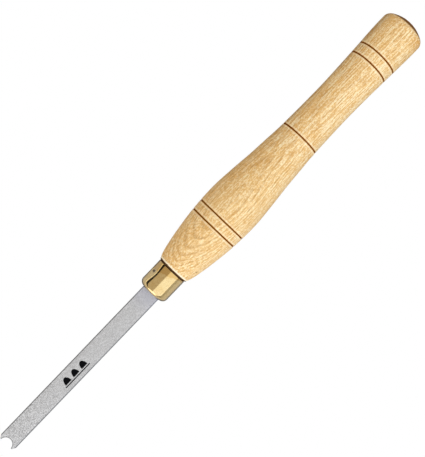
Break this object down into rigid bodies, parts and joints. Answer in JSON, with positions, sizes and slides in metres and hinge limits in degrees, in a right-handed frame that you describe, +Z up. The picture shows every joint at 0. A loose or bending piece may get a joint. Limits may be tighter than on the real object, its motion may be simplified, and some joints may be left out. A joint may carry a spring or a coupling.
{
  "type": "woodturning beading tool",
  "caption": "Lathe beading tool: flat high-speed-steel bar with a half-round notch at its tip, brass ferrule and long turned hardwood handle with thin burnt rings.",
  "frame": {"origin": "on the surface under the handle's belly, below the middle of the tool's whole length and width", "axes": "+X along the tool from the cutting tip towards the butt, +Y across the bar, +Z up out of the flat cutting face"},
  "size_m": [0.3662, 0.0364, 0.0365],
  "materials": {
    "tool_steel": "fine ground and blasted grey steel",
    "brass": "polished, clear lacquered",
    "hardwood": "pale ring-porous hardwood, sanded and satin lacquered"
  },
  "bodies": {
    "root": {"blade": "tool_steel", "ferrule": "brass", "handle": "hardwood"}
  },
  "joints": []
}
